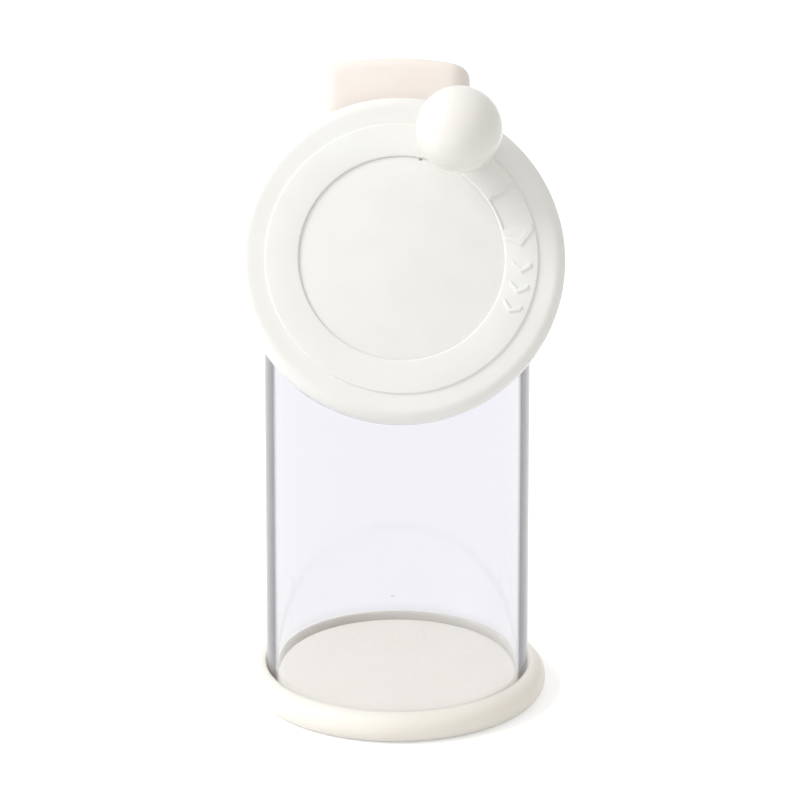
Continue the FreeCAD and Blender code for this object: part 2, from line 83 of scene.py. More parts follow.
def placeCamera():
    data = bpy.data.cameras.new("camera")
    data.sensor_width = camera["sensor"]
    data.lens = camera["focal"] / camera["picture"] * camera["sensor"]
    data.clip_start, data.clip_end = camera["clip"]
    eye = bpy.data.objects.new("camera", data)
    bpy.context.scene.collection.objects.link(eye)
    rise = math.radians(camera["elevation"])
    spot = Vector((camera["aimX"], -camera["distance"] * math.cos(rise),
                   camera["aimZ"] + camera["distance"] * math.sin(rise))) * mm
    eye.matrix_world = (Matrix.Rotation(-math.radians(camera["yaw"]), 4, "Z")
                        @ Matrix.Translation(spot) @ Matrix.Rotation(math.pi / 2 - rise, 4, "X"))
    bpy.context.scene.camera = eye


# Light and floor

lights = {"left": (0.84, 0.842, 0.848), "right": (0.63, 0.612, 0.588), "aim": (0, 0, 0.06),
          "lamps": {"keyLamp": (8.8, 0.6, (-0.92, -0.23, 0.88))},
          "backdrop": (1, 1, 1), "throughShell": (0.895, 0.886, 0.925)}
floorLook = {"reach": 6.0, "colour": (0.86, 0.86, 0.86), "glow": (0.4, 0.4, 0.4), "roughness": 0.9}


def softLamp(name, power, size, place):
    data = bpy.data.lights.new(name, "AREA")
    data.shape, data.size, data.energy = "DISK", size, power
    lamp = bpy.data.objects.new(name, data)
    bpy.context.scene.collection.objects.link(lamp)
    lamp.location = place
    lamp.rotation_mode = "QUATERNION"
    lamp.rotation_quaternion = (Vector(lights["aim"]) - Vector(place)).to_track_quat("-Z", "Y")


def seenDirectly(nodes, links, plain):
    # Gives 1 for a ray from the camera, off gloss or through the clear shell, with the colour that
    # it meets, and 1 for a ray through the shell alone
    path = nodes.new("ShaderNodeLightPath")
    through = path.outputs["Is Transmission Ray"]
    seen = maths(nodes, links, "MAXIMUM", path.outputs["Is Camera Ray"], path.outputs["Is Glossy Ray"])
    seen = maths(nodes, links, "MAXIMUM", seen, through)
    return seen, blended(nodes, links, through, plain, lights["throughShell"]), through


def softerOnTheRight(nodes, links):
    # The studio's own light falls off a little from left to right, and is warmer there
    split = nodes.new("ShaderNodeSeparateXYZ")
    links.new(nodes.new("ShaderNodeTexCoord").outputs["Generated"], split.inputs[0])
    across = spread(nodes, links, split.outputs["X"], 0.0, 1.0, -1.0, 1.0)
    return blended(nodes, links, across, lights["left"], lights["right"])


def lightStudio():
    world = bpy.data.worlds.new("studio")
    bpy.context.scene.world = world
    world.use_nodes = True
    nodes, links = world.node_tree.nodes, world.node_tree.links
    nodes.clear()
    seen, colour, _ = seenDirectly(nodes, links, lights["backdrop"])
    ambient, backdrop = [nodes.new("ShaderNodeBackground") for _ in range(2)]
    links.new(softerOnTheRight(nodes, links), ambient.inputs["Color"])
    links.new(colour, backdrop.inputs["Color"])
    mix = nodes.new("ShaderNodeMixShader")
    for source, target in zip((seen, ambient.outputs[0], backdrop.outputs[0]), mix.inputs):
        links.new(source, target)
    links.new(mix.outputs[0], nodes.new("ShaderNodeOutputWorld").inputs["Surface"])
    for name, (power, size, place) in lights["lamps"].items():
        softLamp(name, power, size, place)


def layFloor():
    shape = bmesh.new()
    bmesh.ops.create_grid(shape, x_segments=1, y_segments=1, size=floorLook["reach"] / mm)
    floor = finished(shape, "floor", upright)
    mat, nodes, links, surface = surfaceOf("paleFloor")
    surface.inputs["Roughness"].default_value = floorLook["roughness"]
    surface.inputs["Specular IOR Level"].default_value = 0.0
    seen, colour, through = seenDirectly(nodes, links, floorLook["glow"])
    # What the shell shows of the floor is its glow alone
    base = blended(nodes, links, through, floorLook["colour"], (0, 0, 0))
    links.new(base, surface.inputs["Base Color"])
    links.new(colour, surface.inputs["Emission Color"])
    links.new(seen, surface.inputs["Emission Strength"])
    floor.data.materials.append(mat)


# Shapes, all in millimetres

largeRound = 192
cutMargin = 1.0


def bar(radius, low, high, sides, x=0.0, y=0.0):
    shape = bmesh.new()
    bmesh.ops.create_cone(shape, cap_ends=True, segments=sides, radius1=radius, radius2=radius,
                          depth=high - low, matrix=Matrix.Translation((x, y, (low + high) / 2)))
    return shape


def spun(profile, closed=True, steps=160):
    # Spins a line of (radius, height) points about z
    shape = bmesh.new()
    line = [shape.verts.new((radius, 0, height)) for radius, height in profile]
    for first, last in zip(line, line[1:] + (line[:1] if closed else [])):
        shape.edges.new((first, last))
    bmesh.ops.spin(shape, geom=shape.verts[:] + shape.edges[:], axis=(0, 0, 1), cent=(0, 0, 0),
                   angle=2 * math.pi, steps=steps, use_merge=True)
    bmesh.ops.remove_doubles(shape, verts=shape.verts, dist=1e-5)
    bmesh.ops.recalc_face_normals(shape, faces=shape.faces)
    return shape


def bevelled(shape, parts, amount, segments, affect="EDGES"):
    bmesh.ops.bevel(shape, geom=parts, offset=amount, offset_type="OFFSET", segments=segments,
                    profile=0.5, affect=affect, material=-1)


def extruded(shape, faces, lift):
    raised = bmesh.ops.extrude_face_region(shape, geom=faces)["geom"]
    corners = [part for part in raised if isinstance(part, bmesh.types.BMVert)]
    bmesh.ops.translate(shape, vec=lift, verts=corners)
    bmesh.ops.recalc_face_normals(shape, faces=shape.faces)


def swept(corners, first, sweep, steps):
    # Sweeps a face of (radius, height) corners about z, from one angle in radians on
    shape = bmesh.new()
    shape.faces.new([shape.verts.new((radius, 0, height)) for radius, height in corners])
    moved(shape, Matrix.Rotation(first, 4, "Z"))
    bmesh.ops.spin(shape, geom=shape.faces[:] + shape.edges[:] + shape.verts[:], axis=(0, 0, 1),
                   cent=(0, 0, 0), angle=sweep, steps=steps)
    bmesh.ops.recalc_face_normals(shape, faces=shape.faces)
    return shape


def roundRings(shape, rings):
    # Rounds the ring edges at each (radius, height, round, segments)
    for radius, height, amount, segments in rings:
        edges = [edge for edge in shape.edges
                 if all(abs(v.co.xy.length - radius) < 1e-3 and abs(v.co.z - height) < 1e-3
                        for v in edge.verts)]
        bevelled(shape, edges, amount, segments)
    return shape


def joined(shapes):
    whole = shapes[0]
    for shape in shapes[1:]:
        mesh = bpy.data.meshes.new("part")
        shape.to_mesh(mesh)
        shape.free()
        whole.from_mesh(mesh)
        bpy.data.meshes.remove(mesh)
    return whole


def moved(shape, place):
    bmesh.ops.transform(shape, matrix=place, verts=shape.verts)
    return shape


def around(make, count, first=0.0):
    return joined([moved(make(), Matrix.Rotation(math.radians(first + 360 * i / count), 4, "Z"))
                   for i in range(count)])


def combined(body, tool, operation="DIFFERENCE"):
    things = []
    for shape in (body, tool):
        mesh = bpy.data.meshes.new("part")
        shape.to_mesh(mesh)
        shape.free()
        thing = bpy.data.objects.new("part", mesh)
        bpy.context.scene.collection.objects.link(thing)
        things.append(thing)
    change = things[0].modifiers.new("change", "BOOLEAN")
    change.operation, change.solver, change.object = operation, "EXACT", things[1]
    graph = bpy.context.evaluated_depsgraph_get()
    result = bmesh.new()
    result.from_object(things[0], graph)
    for thing in things:
        mesh = thing.data
        bpy.data.objects.remove(thing)
        bpy.data.meshes.remove(mesh)
    bmesh.ops.remove_doubles(result, verts=result.verts, dist=1e-4)
    bmesh.ops.dissolve_degenerate(result, edges=result.edges, dist=1e-4)
    return result


def cutFlat(shape, point, normal):
    # Takes off what lies on the normal's side of a plane, closes the cut and gives its edges
    cut = bmesh.ops.bisect_plane(shape, geom=shape.verts[:] + shape.edges[:] + shape.faces[:],
                                 plane_co=point, plane_no=normal, clear_outer=True)
    edges = [part for part in cut["geom_cut"] if isinstance(part, bmesh.types.BMEdge)]
    bmesh.ops.edgeloop_fill(shape, edges=edges)
    return edges


def finished(shape, name, place, smoothAngle=30.0):
    # A bmesh in millimetres becomes an object whose place is in its mesh
    moved(shape, toMetres @ place)
    mesh = bpy.data.meshes.new(name)
    shape.to_mesh(mesh)
    shape.free()
    mesh.shade_smooth()
    mesh.set_sharp_from_angle(angle=math.radians(smoothAngle))
    piece = bpy.data.objects.new(name, mesh)
    bpy.context.scene.collection.objects.link(piece)
    return piece


# Materials

def surfaceOf(name):
    mat = bpy.data.materials.new(name)
    mat.use_nodes = True
    nodes, links = mat.node_tree.nodes, mat.node_tree.links
    return mat, nodes, links, nodes["Principled BSDF"]


def maths(nodes, links, operation, *values):
    step = nodes.new("ShaderNodeMath")
    step.operation = operation
    for value, target in zip(values, step.inputs):
        links.new(value, target)
    return step.outputs[0]


def grain(nodes, links, coords, size, detail):
    # Noise whose blobs are about size millimetres across
    noise = nodes.new("ShaderNodeTexNoise")
    noise.inputs["Scale"].default_value = 1.0 / (size * mm)
    noise.inputs["Detail"].default_value = detail
    links.new(coords, noise.inputs["Vector"])
    return noise.outputs["Fac"]


def spread(nodes, links, value, low, high, start=0.3, end=0.7):
    span = nodes.new("ShaderNodeMapRange")
    for socket, number in (("From Min", start), ("From Max", end), ("To Min", low), ("To Max", high)):
        span.inputs[socket].default_value = number
    links.new(value, span.inputs["Value"])
    return span.outputs["Result"]


def blended(nodes, links, factor, first, second):
    mix = nodes.new("ShaderNodeMix")
    mix.data_type = "RGBA"
    links.new(factor, mix.inputs["Factor"])
    for socket, colour in (("A", first), ("B", second)):
        target = [s for s in mix.inputs if s.name == socket and s.type == "RGBA"][0]
        target.default_value = (*colour, 1)
    return [s for s in mix.outputs if s.type == "RGBA"][0]


def tone(red, green, blue):
    # A colour written as 0 to 255
    return tuple(v / 255 / 12.92 if v / 255 <= 0.04045 else ((v / 255 + 0.055) / 1.055) ** 2.4
                 for v in (red, green, blue))


def inMetres(span):
    return [number * mm for number in span]


def bumped(nodes, links, surface, height, strength, relief):
    bump = nodes.new("ShaderNodeBump")
    bump.inputs["Strength"].default_value = strength
    bump.inputs["Distance"].default_value = relief * mm
    links.new(height, bump.inputs["Height"])
    links.new(bump.outputs["Normal"], surface.inputs["Normal"])


anyPlastic = {"ior": 1.49, "shine": 0.3, "glowReach": (1, 0.9, 0.8), "glowDepth": 1.2, "coatRoughness": 0.06}
anyMetal = {"bump": 0.2, "relief": 0.01, "finer": 6}


def plastic(name, look):
    # Moulded plastic: faint clouding, uneven gloss and a fine skin
    mat, nodes, links, surface = surfaceOf(name)
    coords = nodes.new("ShaderNodeTexCoord").outputs["Object"]
    cloud = spread(nodes, links, grain(nodes, links, coords, look["cloud"], 3.0), 0.0, 1.0)
    links.new(blended(nodes, links, cloud, tone(*look["colour"]), tone(*look["shade"])),
              surface.inputs["Base Color"])
    skin = grain(nodes, links, coords, look["skin"], 4.0)
    links.new(spread(nodes, links, skin, *look["gloss"]), surface.inputs["Roughness"])
    bumped(nodes, links, surface, skin, look["bump"], look["relief"])
    surface.inputs["IOR"].default_value = anyPlastic["ior"]
    surface.inputs["Specular IOR Level"].default_value = anyPlastic["shine"]
    surface.inputs["Subsurface Weight"].default_value = look.get("glow", 0.0)
    surface.inputs["Subsurface Radius"].default_value = anyPlastic["glowReach"]
    surface.inputs["Subsurface Scale"].default_value = look.get("glowDepth", anyPlastic["glowDepth"]) * mm
    surface.inputs["Coat Weight"].default_value = look.get("coat", 0.0)
    surface.inputs["Coat Roughness"].default_value = anyPlastic["coatRoughness"]
    return mat


def clearPlastic(name, look):
    # Clear moulding whose colour carries painted shade: darker where its outer skin turns away, painted in
    # for the dark edges that refraction gives, and a painted shadow over the back of the tube's foot.
    # Shadow and diffuse rays pass it straight, so the lamps light what is behind it
    mat, nodes, links, surface = surfaceOf(name)
    coords = nodes.new("ShaderNodeTexCoord").outputs["Object"]
    # Painted shade: the outer skin's colour darkens towards grazing view, in place of the dark edges from
    # refraction
    edge = nodes.new("ShaderNodeLayerWeight")
    edge.inputs["Blend"].default_value = 0.5
    slant = spread(nodes, links, edge.outputs["Facing"], 0.0, 1.0, *look["slant"])
    away = nodes.new("ShaderNodeVectorMath")
    away.operation = "MULTIPLY"
    away.inputs[1].default_value = (1, 1, 0)
    links.new(coords, away.inputs[0])
    length = nodes.new("ShaderNodeVectorMath")
    length.operation = "LENGTH"
    links.new(away.outputs[0], length.inputs[0])
    outside = spread(nodes, links, length.outputs["Value"], 0.0, 1.0, *inMetres(look["skin"]))
    place = nodes.new("ShaderNodeSeparateXYZ")
    links.new(coords, place.inputs[0])
    # Painted shadow: the back of the foot darkens towards the lid, where the groove lies in shade
    foot = spread(nodes, links, place.outputs["Z"], 1.0, 0.0, *inMetres(look["foot"]))
    behind = spread(nodes, links, place.outputs["Y"], 0.0, look["footShade"], *inMetres(look["footBack"]))
    footShadow = maths(nodes, links, "MULTIPLY", foot, behind)
    paintedShade = maths(nodes, links, "MULTIPLY_ADD", slant, outside, footShadow)
    links.new(blended(nodes, links, paintedShade, tone(*look["colour"]), tone(*look["edge"])),
              surface.inputs["Base Color"])
    surface.inputs["Transmission Weight"].default_value = 1.0
    surface.inputs["IOR"].default_value = look["ior"]
    haze = grain(nodes, links, coords, look["haze"], 3.0)
    links.new(spread(nodes, links, haze, *look["gloss"]), surface.inputs["Roughness"])
    through = nodes.new("ShaderNodeBsdfTransparent")
    through.inputs["Color"].default_value = (*tone(*look["lampThrough"]), 1)
    mix = nodes.new("ShaderNodeMixShader")
    path = nodes.new("ShaderNodeLightPath")
    straight = maths(nodes, links, "MAXIMUM", path.outputs["Is Shadow Ray"], path.outputs["Is Diffuse Ray"])
    for source, target in zip((straight, surface.outputs[0], through.outputs[0]), mix.inputs):
        links.new(source, target)
    links.new(mix.outputs[0], nodes["Material Output"].inputs["Surface"])
    return mat


def metal(name, look):
    mat, nodes, links, surface = surfaceOf(name)
    coords = nodes.new("ShaderNodeTexCoord").outputs["Object"]
    cloud = grain(nodes, links, coords, look["cloud"], 4.0)
    patches = spread(nodes, links, cloud, 0.0, 1.0)
    links.new(blended(nodes, links, patches, tone(*look["colour"]), tone(*look["shade"])),
              surface.inputs["Base Color"])
    links.new(spread(nodes, links, cloud, *look["gloss"]), surface.inputs["Roughness"])
    fine = grain(nodes, links, coords, look["cloud"] / anyMetal["finer"], 3.0)
    bumped(nodes, links, surface, fine, anyMetal["bump"], anyMetal["relief"])
    surface.inputs["Metallic"].default_value = 1.0
    return mat


looks = {
    # The clear shell's edge colour is painted shade, laid on its grazing edges and over the back of its foot
    "clearShell": (clearPlastic, {"colour": (254, 254, 255), "edge": (60, 60, 66), "slant": (0.615, 0.67),
                                  "skin": (24.6, 25.0), "foot": (5.4, 8.6), "footShade": 0.16,
                                  "footBack": (-6, 16), "lampThrough": (249, 249, 250), "ior": 1.49,
                                  "haze": 3.0, "gloss": (0.0, 0.02)}),
    "ivoryLid": (plastic, {"colour": (243, 240, 232), "shade": (241, 237, 228), "cloud": 9.0, "skin": 0.35,
                           "gloss": (0.26, 0.36), "bump": 0.12, "relief": 0.02, "glow": 0.45,
                           "glowDepth": 2.6}),
    "creamCap": (plastic, {"colour": (247, 239, 233), "shade": (245, 236, 229), "cloud": 6.0, "skin": 0.22,
                           "gloss": (0.48, 0.6), "bump": 0.25, "relief": 0.03, "glow": 0.1}),
    "ivoryDisc": (plastic, {"colour": (241, 241, 238), "shade": (239, 238, 234), "cloud": 8.0, "skin": 0.3,
                            "gloss": (0.3, 0.4), "bump": 0.12, "relief": 0.02, "glow": 0.12}),
    "ivoryPanel": (plastic, {"colour": (240, 240, 237), "shade": (238, 237, 234), "cloud": 7.0, "skin": 0.3,
                             "gloss": (0.3, 0.42), "bump": 0.14, "relief": 0.02, "glow": 0.12}),
    "whiteKnob": (plastic, {"colour": (238, 236, 231), "shade": (236, 234, 228), "cloud": 5.0, "skin": 0.6,
                            "gloss": (0.12, 0.2), "bump": 0.05, "relief": 0.01, "glow": 0.1, "coat": 0.4}),
    "whiteBurr": (plastic, {"colour": (236, 234, 228), "shade": (228, 224, 214), "cloud": 3.0, "skin": 0.25,
                            "gloss": (0.4, 0.55), "bump": 0.3, "relief": 0.03, "glow": 0.1}),
    "bushPlastic": (plastic, {"colour": (222, 218, 206), "shade": (212, 208, 196), "cloud": 3.0, "skin": 0.3,
                              "gloss": (0.35, 0.5), "bump": 0.2, "relief": 0.02}),
    "steel": (metal, {"colour": (196, 198, 202), "shade": (176, 178, 183), "cloud": 0.8,
                      "gloss": (0.22, 0.38)}),
    "springSteel": (metal, {"colour": (182, 184, 190), "shade": (160, 162, 168), "cloud": 0.5,
                            "gloss": (0.2, 0.34)}),
}
materials = {name: make(name, look) for name, (make, look) in looks.items()}


def standFor(piece, node, look):
    # The new piece takes a node's place, body and finish
    piece.data.materials.append(materials[look])
    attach(piece, frame["nodes"][node]["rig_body"])
    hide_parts(node)
    print("made", piece.name, len(piece.data.polygons), "faces")


bpy.context.scene.view_settings.view_transform = "Standard"
placeCamera()
lightStudio()
layFloor()
print("camera, light and floor set")


# Base lid

lid = {"radius": 29.5, "height": 6.0, "shoulder": 3.3, "foot": 2.6, "grooveOuter": 26.1, "grooveInner": 23.9,
       "grooveFloor": 1.5, "floor": 5.1, "floorRound": 0.8, "recess": (12.0, 25.0, 1.2), "softEdge": 0.25}


def makeLid():
    inner, outer, depth = lid["recess"]
    shape = spun([(0, lid["floor"]), (lid["grooveInner"], lid["floor"]),
                  (lid["grooveInner"], lid["grooveFloor"]), (lid["grooveOuter"], lid["grooveFloor"]),
                  (lid["grooveOuter"], lid["height"]), (lid["radius"], lid["height"]), (lid["radius"], 0),
                  (outer, 0), (outer, depth), (inner, depth), (inner, 0), (0, 0)], closed=False)
    soft = lid["softEdge"]
    roundRings(shape, [(lid["radius"], lid["height"], lid["shoulder"], 10),
                       (lid["radius"], 0, lid["foot"], 6),
                       (lid["grooveInner"], lid["floor"], lid["floorRound"], 5),
                       (lid["grooveOuter"], lid["height"], soft, 3), (outer, 0, soft, 2), (inner, 0, soft, 2),
                       (outer, depth, soft, 2), (inner, depth, soft, 2)])
    standFor(finished(shape, "baseLid", upright), "base_lid", "ivoryLid")


makeLid()


# Cap and spout outlines: a rounded block that points up the disc's face, under an arch

arch = {"top": 40.65, "crown": 62.0, "side": -0.8, "edgeRings": 6, "topRings": 4, "topShare": 0.9}
blockMesh = {"cornerSteps": 10, "longest": 2, "cell": 1.2}


def archDrop(x, inset):
    # How far the arch lies under its top at x from the middle
    crown = arch["crown"] - inset
    return crown - math.sqrt(crown ** 2 - x ** 2)


def roundedBlock(half, front, back, corner, low, high):
    shape = bmesh.new()
    corners = [shape.verts.new((x, low, -depth)) for x, depth in
               ((-half, front), (half, front), (half, back), (-half, back))]
    shape.faces.new(corners)
    bevelled(shape, shape.verts[:], corner, blockMesh["cornerSteps"], "VERTICES")
    for edge in [e for e in shape.edges if e.calc_length() > blockMesh["longest"]]:
        bmesh.ops.subdivide_edges(shape, edges=[edge], cuts=int(edge.calc_length() / blockMesh["cell"]))
    extruded(shape, shape.faces[:], (0, high - low, 0))
    return shape


def archedBlock(half, front, back, corner, low, inset, edgeRound):
    # The block's top edge is rounded ring by ring, and then its top is bent to the arch
    high, rings = arch["top"] - inset, arch["edgeRings"]
    shape = roundedBlock(half, front, back, corner, low, high - edgeRound)
    top = [max(shape.faces, key=lambda f: f.calc_center_median().y)]
    steps = [math.radians(90 * i / rings) for i in range(rings + 1)]
    moves = [(edgeRound * (math.cos(a) - math.cos(b)), edgeRound * (math.sin(b) - math.sin(a)))
             for a, b in zip(steps, steps[1:])]
    rest = (corner - edgeRound) * arch["topShare"] / arch["topRings"]
    for inward, upward in moves + [(rest, 0.0)] * arch["topRings"]:
        bmesh.ops.inset_region(shape, faces=top, thickness=inward, depth=0.0, use_even_offset=True)
        bmesh.ops.translate(shape, vec=(0, upward, 0), verts=list({v for f in top for v in f.verts}))
    for v in shape.verts:
        if v.co.y > low + cutMargin:
            v.co.y -= archDrop(v.co.x, inset)
    bmesh.ops.triangulate(shape, faces=top)
    return moved(shape, Matrix.Translation((arch["side"], 0, 0)))


# Container: tube, hopper roof, tray, flange and spout in one clear moulding

shell = {"radius": 26.0, "bore": 24.0, "foot": 1.8, "tall": 150.0, "rings": (2.6, 4.8, 30.0, 60.0),
         "roofSlope": 32.0, "roofReach": 16.0, "roofRound": 3.2, "roofWall": 2.0, "innerRound": 1.6,
         "ringBelow": 1.5, "flange": (31.3, 5.8, 7.6), "lipEdge": 0.4, "trayRadius": 29.3, "trayRound": 1.2,
         "chamber": 27.5, "floorFront": 18.25, "floorBack": 20.25, "backStep": 0.03,
         "spout": (13.48, 9.62, 3.8), "spoutBore": (11.98, 11.12, 2.3), "spoutFrom": 20.0, "spoutEdge": 0.35,
         "spoutInset": 2.3, "feed": (5.6, 10.5), "spoke": 2.4, "spokes": (3, 90), "bush": 4.12,
         "screwHole": 1.2, "screwCircle": 13.1, "screws": (3, 30), "burrRing": (18.55, 19.95, 1.6),
         "ringRoot": 0.2, "rib": (0.4, 24.02, 5.4, 10.0)}
# Where the cutting shapes end, clear of the walls that they cut
shellCuts = {"front": 90, "spout": 60, "chamber": 20, "holes": -30}


def roofed(radius, low, drop, edgeRound):
    # An upright cylinder under the slanted roof, or a drop below it
    tilt, slope = math.radians(head["tilt"]), math.radians(shell["roofSlope"])
    reach, back = shell["roofReach"], shell["floorBack"]
    y = -head["offset"] + reach * math.sin(tilt) + back * math.cos(tilt)
    z = head["height"] + reach * math.cos(tilt) - back * math.sin(tilt) - drop / math.cos(slope)
    upRoof = (0, math.sin(slope), math.cos(slope))
    shape = bar(radius, low, shell["tall"], largeRound)
    bevelled(shape, cutFlat(shape, (0, y, z), upRoof), edgeRound, 8)
    # Extra rings keep the long walls evenly shaded
    below = z - (edgeRound + shell["ringBelow"]) / math.cos(slope)
    levels = [((0, 0, level), (0, 0, 1)) for level in shell["rings"]]
    for point, normal in [((0, y, below), upRoof)] + levels:
        bmesh.ops.bisect_plane(shape, geom=shape.verts[:] + shape.edges[:] + shape.faces[:],
                               plane_co=point, plane_no=normal)
    return shape


def kidney():
    # One of the feed openings between the spokes
    inner, outer = shell["feed"]
    lean = math.asin(shell["spoke"] / (inner + outer))
    low, high = -shell["floorBack"] - cutMargin, -shell["floorFront"] + cutMargin
    sweep = math.radians(360 / shell["spokes"][0]) - 2 * lean
    return swept([(inner, low), (outer, low), (outer, high), (inner, high)], lean, sweep, 20)


def makeContainer():
    flangeRadius, flangeFront, flangeBack = shell["flange"]
    tray = spun([(0, -flangeFront), (flangeRadius, -flangeFront), (flangeRadius, -flangeBack),
                 (shell["trayRadius"], -flangeBack), (shell["trayRadius"], -shell["floorBack"]),
                 (0, -shell["floorBack"])], closed=False, steps=largeRound)
    roundRings(tray, [(shell["trayRadius"], -shell["floorBack"], shell["trayRound"], 6),
                      (flangeRadius, -flangeFront, shell["lipEdge"], 3),
                      (flangeRadius, -flangeBack, shell["lipEdge"], 3)])
    tube = roofed(shell["radius"], shell["foot"], 0.0, shell["roofRound"])
    middle = (flangeFront + flangeBack) / 2
    cutFlat(tube, headPlace @ Vector((0, 0, -middle)), headOut)
    body = combined(tube, moved(tray, headPlace), "UNION")
    half, front, corner = shell["spout"]
    back = shell["floorBack"] - shell["backStep"]
    spout = archedBlock(half, front, back, corner, shell["spoutFrom"], shell["spoutInset"],
                        shell["spoutEdge"])
    body = combined(body, moved(spout, headPlace), "UNION")
    print("container: outer form joined")
    hopper = roofed(shell["bore"], shell["foot"] - cutMargin, shell["roofWall"], shell["innerRound"])
    frontCut = bar(shell["trayRadius"], -shell["floorBack"], shellCuts["front"], largeRound)
    body = combined(body, combined(hopper, moved(frontCut, headPlace)))
    half, front, corner = shell["spoutBore"]
    bore = roundedBlock(half, front, shell["floorFront"], corner, shell["spoutFrom"], shellCuts["spout"])
    holesFrom = shellCuts["holes"]
    hollows = [bar(shell["chamber"], -shell["floorFront"], shellCuts["chamber"], largeRound),
               moved(bore, Matrix.Translation((arch["side"], 0, 0))),
               around(kidney, *shell["spokes"]), bar(shell["bush"], holesFrom, 0, 48),
               around(lambda: bar(shell["screwHole"], holesFrom, 0, 24, x=shell["screwCircle"]),
                      *shell["screws"])]
    for hollow in hollows:
        body = combined(body, moved(hollow, headPlace))
    print("container: hollowed")
    ringInner, ringOuter, ringHeight = shell["burrRing"]
    low, high = -shell["floorFront"] - shell["ringRoot"], ringHeight - shell["floorFront"]
    ring = spun([(ringInner, low), (ringOuter, low), (ringOuter, high), (ringInner, high)])
    body = combined(body, moved(ring, headPlace), "UNION")
    ribRadius, ribAway, ribLow, ribHigh = shell["rib"]
    body = combined(body, bar(ribRadius, ribLow, ribHigh, 22, y=ribAway), "UNION")
    standFor(finished(body, "clearContainer", upright), "container", "clearShell")


makeContainer()


# Outlet cap

cap = {"half": 15.1, "front": 8.0, "back": 21.87, "corner": 4.3, "edge": 2.1, "wall": 1.5, "topWall": 1.8,
       "innerEdge": 0.6, "from": 24.0, "innerFrom": 22.0, "seat": 29.6, "seatSpan": (-40, 10)}


def makeCap():
    outer = archedBlock(cap["half"], cap["front"], cap["back"], cap["corner"], cap["from"], 0.0, cap["edge"])
    wall = cap["wall"]
    inner = archedBlock(cap["half"] - wall, cap["front"] + wall, cap["back"] - wall, cap["corner"] - wall,
                        cap["innerFrom"], cap["topWall"], cap["innerEdge"])
    shape = combined(combined(outer, inner), bar(cap["seat"], *cap["seatSpan"], largeRound))
    standFor(finished(shape, "outletCap", headPlace), "outlet_cap", "creamCap")


makeCap()


# Crank disc with its raised band, arrow and plain marks

disc = {"radius": 31.5, "edge": 2.35, "skirt": 5.4, "plate": 3.4, "skirtInner": 29.1,
        "band": (19.7, 26.2, 0.4), "bandRound": 0.28, "innerRound": 0.38, "recess": 1.78,
        "lip": (25.7, 27.1, 7.4), "boss": (6.0, 7.2), "shaftHole": 2.9, "shaftTop": 3.93, "screwHole": 1.2,
        "headRoom": (3.5, 3.38), "pad": 3.45, "pinHole": 2.06, "pinHead": (3.1, 1.3), "postScrew": 1.2,
        "postCircle": 12.1, "posts": (3, 90), "cutReach": 10, "softEdge": 0.25}
knobPlace = {"orbit": 25.3, "angle": 64.4}
knobTurn = math.radians(knobPlace["angle"])
knobX, knobY = knobPlace["orbit"] * math.cos(knobTurn), knobPlace["orbit"] * math.sin(knobTurn)
arrow = {"depth": 0.3, "inset": 0.45, "neck": 15.0, "tail": 32.5,
         "head": ((22.9, 4.9), (25.75, 11.3), (25.75, 14.2), (22.9, 8.9), (20.1, 11.6), (20.1, 9.7)),
         "ridge": ((20.2, 33.6), (20.2, 34.3), (25.7, 32.8), (25.7, 32.2))}
marks = {"height": 0.3, "angles": (-8.0, -18.0, -28.0), "soft": 0.12, "root": 0.05,
         "shape": ((22.95, 0.0), (24.75, 3.0), (24.75, 5.0), (22.95, 2.0), (21.15, 5.3), (21.15, 3.3))}


def raisedMark(outline, turn=0.0):
    # A low raised shape from the (radius, angle) points of its outline
    shape = bmesh.new()
    low, high = marks["root"], disc["band"][2] + marks["height"]
    face = shape.faces.new([shape.verts.new((radius * math.cos(math.radians(turn + angle)),
                                             radius * math.sin(math.radians(turn + angle)), low))
                            for radius, angle in outline])
    extruded(shape, [face], (0, 0, high - low))
    top = [e for e in shape.edges if all(abs(v.co.z - high) < 1e-4 for v in e.verts)]
    bevelled(shape, top, marks["soft"], 3)
    return shape


def sunkenArrow():
    inner, outer, top = disc["band"]
    low, high = top - arrow["depth"], top + cutMargin
    near, far = inner + arrow["inset"], outer - arrow["inset"]
    return swept([(near, low), (far, low), (far, high), (near, high)], math.radians(arrow["neck"]),
                 math.radians(arrow["tail"] - arrow["neck"]), 16)


